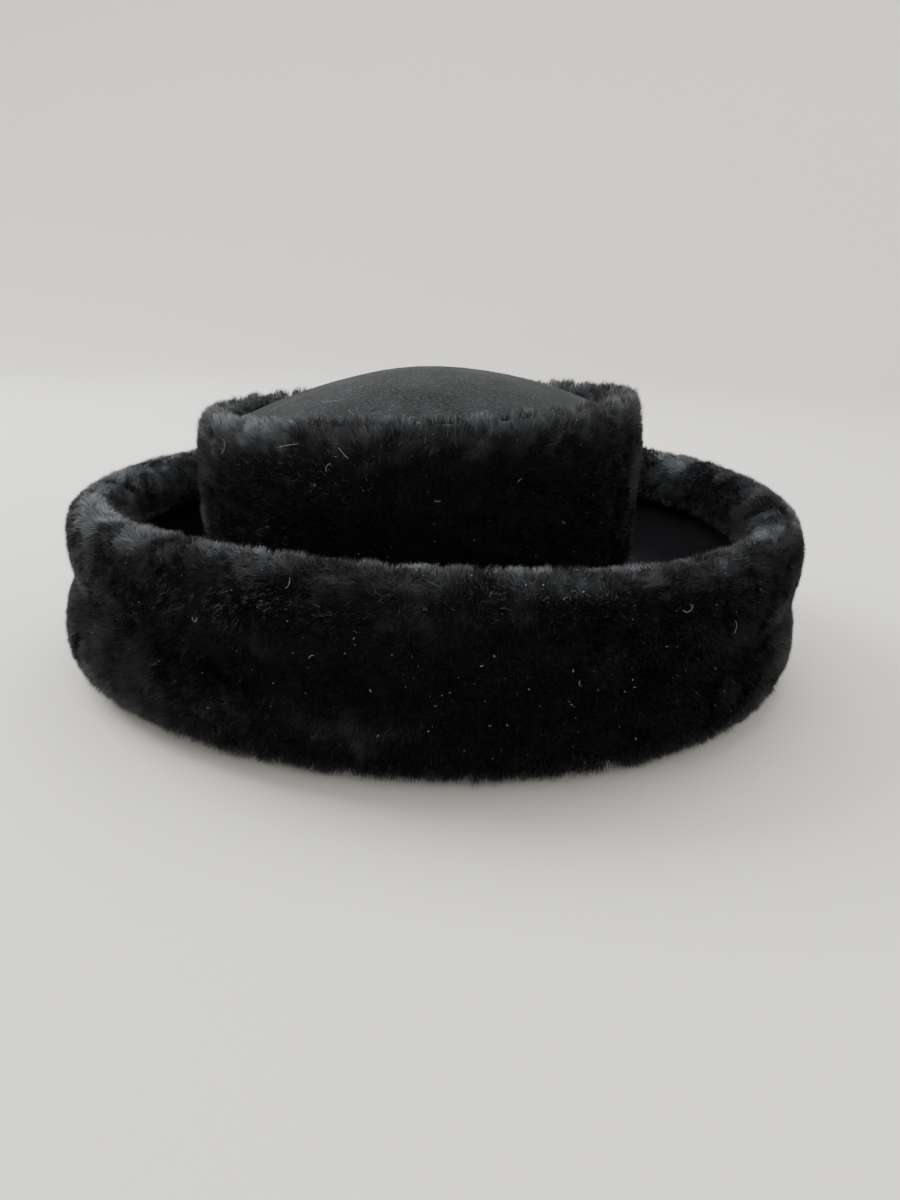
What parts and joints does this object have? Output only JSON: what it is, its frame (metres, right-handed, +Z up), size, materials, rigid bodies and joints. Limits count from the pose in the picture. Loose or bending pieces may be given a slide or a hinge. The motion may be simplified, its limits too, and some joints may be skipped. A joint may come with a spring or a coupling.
{
  "type": "upturned-brim fur hat",
  "caption": "Black fur-pile hat with a low band crown, a domed felt tip and a deep turned-up brim rolled over its edge.",
  "frame": {"origin": "under the middle of the whole hat, on the surface that it rests on", "axes": "+Z up out of the crown, -Y toward the hat's front, +X to the right as the front is seen"},
  "size_m": [0.3348, 0.324, 0.1298],
  "materials": {
    "fur_pile": "short dense black pile, matt with a soft sheen where it is brushed",
    "velour": "smooth black napped cloth",
    "felt": "matt grey-black felt with pale fibres"
  },
  "bodies": {
    "root": {"brim_cuff": "fur_pile", "brim_lining": "velour", "crown_band": "fur_pile", "crown_tip": "felt"}
  },
  "joints": []
}
